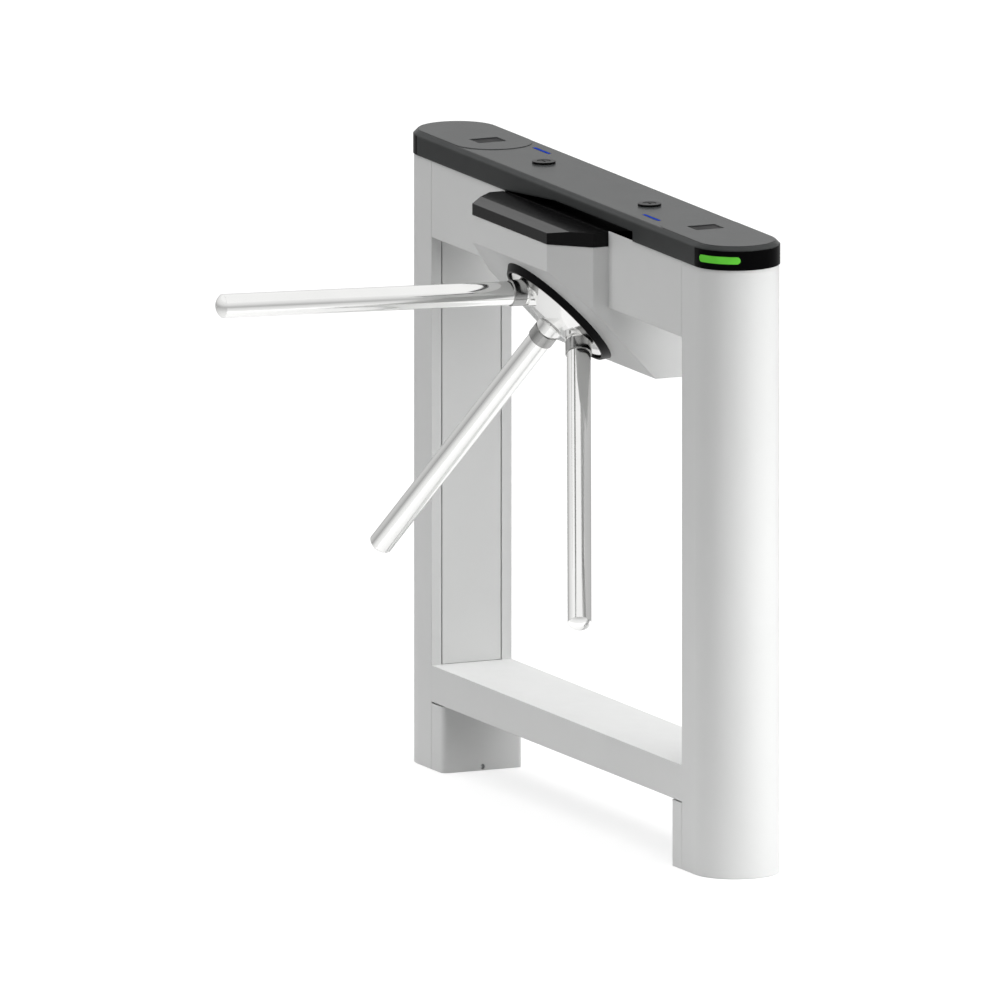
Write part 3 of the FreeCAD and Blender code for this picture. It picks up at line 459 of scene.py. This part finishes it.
# Camera: a parallel view from the right end of the passage side
VIEW_AZIMUTH = math.radians(65.5)
VIEW_ELEVATION = math.radians(10.5)
VIEW_HEIGHT = 1.5704
VIEW_RIGHT = -0.15185
VIEW_UP = 0.49606
CAMERA_DISTANCE = 6.0


def make_camera():
    sin_a, cos_a = math.sin(VIEW_AZIMUTH), math.cos(VIEW_AZIMUTH)
    sin_e, cos_e = math.sin(VIEW_ELEVATION), math.cos(VIEW_ELEVATION)
    view_right = Vector((cos_a, sin_a, 0))
    view_up = Vector((-sin_a * sin_e, cos_a * sin_e, cos_e))
    view_back = Vector((sin_a * cos_e, -cos_a * cos_e, sin_e))
    camera = add_object("camera", bpy.data.cameras.new("camera"))
    camera.data.type = "ORTHO"
    camera.data.ortho_scale = VIEW_HEIGHT
    aim = view_right * VIEW_RIGHT + view_up * VIEW_UP
    set_down(camera, aim + view_back * CAMERA_DISTANCE, aim, "-Z")
    bpy.context.scene.camera = camera


make_camera()

# Light: three wide lamps, a soft box beside the near post and an even surround
LAMP_DISTANCE = 4.0
SURROUND_LEVEL = 0.04


def add_lamp(name, lamp, place, aim):
    """Sets a lamp down at a place, facing another. Polished surfaces don't show it."""
    item = add_object(name, lamp)
    set_down(item, place, aim, "-Z")
    item.visible_glossy = False


def broad_lamp(name, direction, level, spread):
    """A far, wide lamp. At level 1 a white surface that faces it renders white."""
    lamp = bpy.data.lights.new(name, "SUN")
    lamp.energy = level * math.pi
    lamp.angle = math.radians(spread)
    add_lamp(name, lamp, Vector(direction) * LAMP_DISTANCE, (0, 0, 0))


def soft_box(name, place, aim, width, height, level):
    """An upright lamp. At level 1 a white surface at its aim that faces it renders white."""
    lamp = bpy.data.lights.new(name, "AREA")
    lamp.shape = "RECTANGLE"
    lamp.size = width
    lamp.size_y = height
    lamp.energy = level * (math.pi * (Vector(place) - Vector(aim)).length) ** 2
    add_lamp(name, lamp, place, aim)


broad_lamp("top_light", direction=(0.1, -0.1, 1.0), level=1.0, spread=70.0)
broad_lamp("fill_light", direction=(-0.3, -0.95, 0.3), level=0.255, spread=50.0)
broad_lamp("back_light", direction=(0.25, 0.8, 0.6), level=0.34, spread=50.0)
soft_box("key_light", place=(1.7, 0.6, 0.55), aim=(0.6, 0.0, 0.45), width=0.8, height=1.4, level=1.0)


def seen_directly(tree):
    """One for rays from the camera, from mirrors and through glass, and zero for the rest."""
    path = tree.nodes.new("ShaderNodeLightPath")
    total = path.outputs["Is Camera Ray"]
    for name in ("Is Glossy Ray", "Is Transmission Ray"):
        total = calculate(tree, "MAXIMUM", total, path.outputs[name])
    return total


def make_surround():
    """White where it is seen, and a plain level of light elsewhere."""
    world = bpy.data.worlds.new("surround")
    bpy.context.scene.world = world
    tree, background = shader_of(world, "Background")
    background.inputs["Color"].default_value = WHITE
    level = map_range(tree, seen_directly(tree), UNIT_RANGE, (SURROUND_LEVEL, 1.0))
    tree.links.new(level, background.inputs["Strength"])


make_surround()

# The floor, from its middle to its outer part: distance, shade, and the lift that makes it white
FLOOR_RANGE = (0.8, 2.5)
FLOOR_SHADE = (0.42, 0.1)
FLOOR_LIFT = (0.62, 0.95)
FLOOR_HALF = 8.0
FLOOR_GAP = 0.0005
FLOOR_ROUGHNESS = 0.9


def rectangle(name, half_x, half_y):
    """A flat rectangle about its own origin."""
    mesh = bpy.data.meshes.new(name)
    corners = [(-half_x, -half_y, 0), (half_x, -half_y, 0), (half_x, half_y, 0), (-half_x, half_y, 0)]
    mesh.from_pydata(corners, [], [(0, 1, 2, 3)])
    return add_object(name, mesh)


def make_floor():
    """A white floor that keeps the shadow of the object."""
    floor = rectangle("floor", FLOOR_HALF, FLOOR_HALF)
    floor.location.z = cad_low.z - FLOOR_GAP
    material = bpy.data.materials.new("floor_white")
    tree, shader = shader_of(material)
    place = tree.nodes.new("ShaderNodeTexCoord")
    length = tree.nodes.new("ShaderNodeVectorMath")
    length.operation = "LENGTH"
    tree.links.new(place.outputs["Object"], length.inputs[0])
    distance = length.outputs["Value"]
    shade = map_range(tree, distance, FLOOR_RANGE, FLOOR_SHADE)
    lift = map_range(tree, distance, FLOOR_RANGE, FLOOR_LIFT)
    glow = calculate(tree, "MULTIPLY", seen_directly(tree), lift)
    tree.links.new(shade, shader.inputs["Base Color"])
    tree.links.new(glow, shader.inputs["Emission Strength"])
    shader.inputs["Emission Color"].default_value = WHITE
    shader.inputs["Roughness"].default_value = FLOOR_ROUGHNESS
    floor.data.materials.append(material)


make_floor()

# Floor bands, walls and cards that only polished surfaces see
STUDIO_SIDES = 64
STUDIO_BANDS = ["near_floor", "far_floor", "low_wall", "high_wall"]
STUDIO_RINGS = [
    # Radius about the object, height and level of light, where one band ends and the next begins
    (0.8, 0.001, 1.0),
    (2.5, 0.01, 0.64),
    (6.5, 0.02, 0.38),
    (6.5, 2.0, 0.78),
    (6.5, 6.5, 1.05),
]
HUB_PLACE = Vector((0.0, -0.35, 0.7))


def seen_in_mirrors(item, axis, low, high):
    """Makes a panel glow, from a level at its low edge to another at its high edge."""
    item.visible_camera = False
    item.visible_diffuse = False
    item.visible_transmission = False
    item.visible_shadow = False
    material = bpy.data.materials.new(item.name)
    tree, shader = shader_of(material)
    shader.inputs["Base Color"].default_value = BLACK
    shader.inputs["Specular IOR Level"].default_value = 0.0
    shader.inputs["Emission Color"].default_value = WHITE
    place = tree.nodes.new("ShaderNodeTexCoord")
    split = tree.nodes.new("ShaderNodeSeparateXYZ")
    tree.links.new(place.outputs["Generated"], split.inputs["Vector"])
    level = map_range(tree, split.outputs[axis], UNIT_RANGE, (low, high))
    tree.links.new(level, shader.inputs["Emission Strength"])
    item.data.materials.append(material)


def studio_band(name, inner, outer):
    """A round band about the object, from one ring to the next."""
    corners = []
    for index in range(STUDIO_SIDES):
        angle = 2 * math.pi * index / STUDIO_SIDES
        for radius, height, _ in (inner, outer):
            corners.append((radius * math.cos(angle), radius * math.sin(angle), height))
    count = len(corners)
    faces = [(i, (i + 2) % count, (i + 3) % count, i + 1) for i in range(0, count, 2)]
    mesh = bpy.data.meshes.new(name)
    mesh.from_pydata(corners, [], faces)
    seen_in_mirrors(add_object(name, mesh), "Z", inner[-1], outer[-1])


def reflection_card(name, place, width, height, low, high):
    """A flat panel that faces the hub."""
    card = rectangle(name, width / 2, height / 2)
    set_down(card, place, HUB_PLACE, "Z")
    seen_in_mirrors(card, "Y", low, high)


for name, inner, outer in zip(STUDIO_BANDS, STUDIO_RINGS, STUDIO_RINGS[1:]):
    studio_band(name, inner, outer)
reflection_card("back_card", place=(0.2, 2.2, 1.6), width=2.4, height=3.2, low=0.5, high=0.6)
reflection_card("dark_strip", place=(-0.5, -1.6, 3.2), width=1.6, height=0.5, low=0.2, high=0.2)

# Settings
bpy.context.scene.view_settings.view_transform = "Standard"
